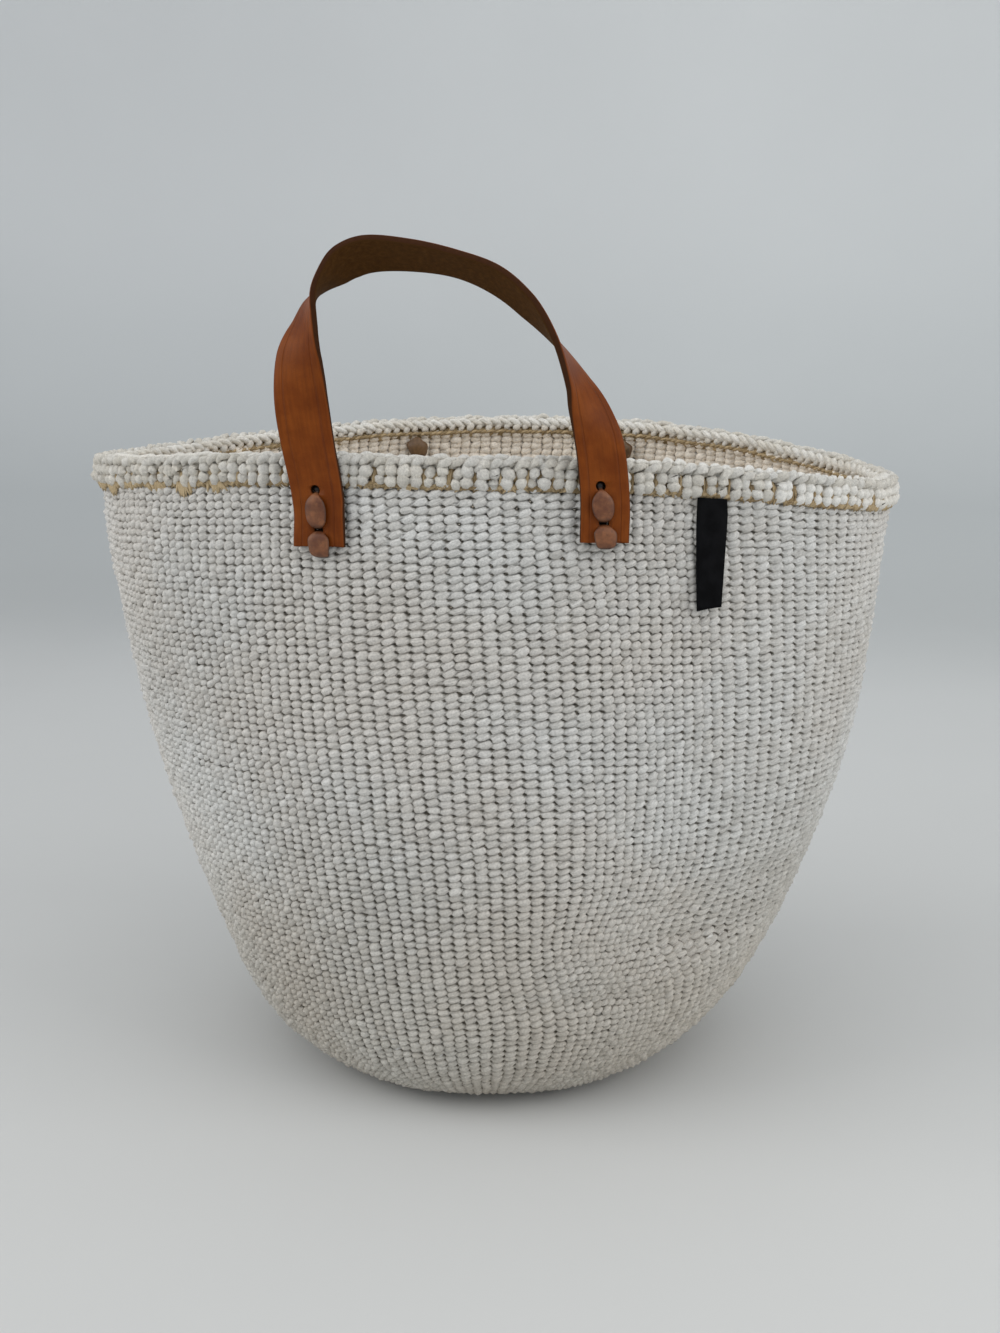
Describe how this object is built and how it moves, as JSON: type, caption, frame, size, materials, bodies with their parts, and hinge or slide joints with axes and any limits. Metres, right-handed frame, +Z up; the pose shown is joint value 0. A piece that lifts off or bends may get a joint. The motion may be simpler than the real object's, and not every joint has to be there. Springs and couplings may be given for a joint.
{
  "type": "kiondo basket",
  "caption": "Twined sisal basket with an oval mouth, braided rim and two laced leather strap handles that fold over the rim.",
  "frame": {"origin": "centre of the flat disc that the basket stands on", "axes": "+Z up, X along the long side of the mouth, front handle on the -Y side"},
  "size_m": [0.3956, 0.2861, 0.4081],
  "materials": {
    "weft": "matt off-white twined cord",
    "sisal": "matt tan sisal fibre",
    "leather": "satin tan leather, rough brown flesh side",
    "lace": "satin tan leather thong",
    "ribbon": "matt black woven ribbon",
    "thread": "matt black thread"
  },
  "bodies": {
    "basket": {"woven_body": "weft", "rim_braid": "weft", "rim_cord_outer": "sisal", "rim_cord_inner": "sisal", "label": "ribbon", "label_stitch": "thread", "front_handle_tab_left": "leather", "front_handle_bend_left": "leather", "front_handle_lace_left": "lace", "front_handle_tab_right": "leather", "front_handle_bend_right": "leather", "front_handle_lace_right": "lace", "rear_handle_tab_left": "leather", "rear_handle_bend_left": "leather", "rear_handle_lace_left": "lace", "rear_handle_tab_right": "leather", "rear_handle_bend_right": "leather", "rear_handle_lace_right": "lace"},
    "front_handle": {"front_handle_arch": "leather"},
    "rear_handle": {"rear_handle_arch": "leather"}
  },
  "joints": [
    {"name": "front_handle_fold", "type": "hinge", "parent": "basket", "child": "front_handle", "pos_m": [0.0027, -0.12683, 0.32626], "axis": [1, 0, 0], "range_deg": [-72, 166], "deforming": ["front_handle_bend_left", "front_handle_bend_right"]},
    {"name": "rear_handle_fold", "type": "hinge", "parent": "basket", "child": "rear_handle", "pos_m": [0.0027, 0.12683, 0.31226], "axis": [1, 0, 0], "range_deg": [0, 172], "deforming": ["rear_handle_bend_left", "rear_handle_bend_right"]}
  ]
}
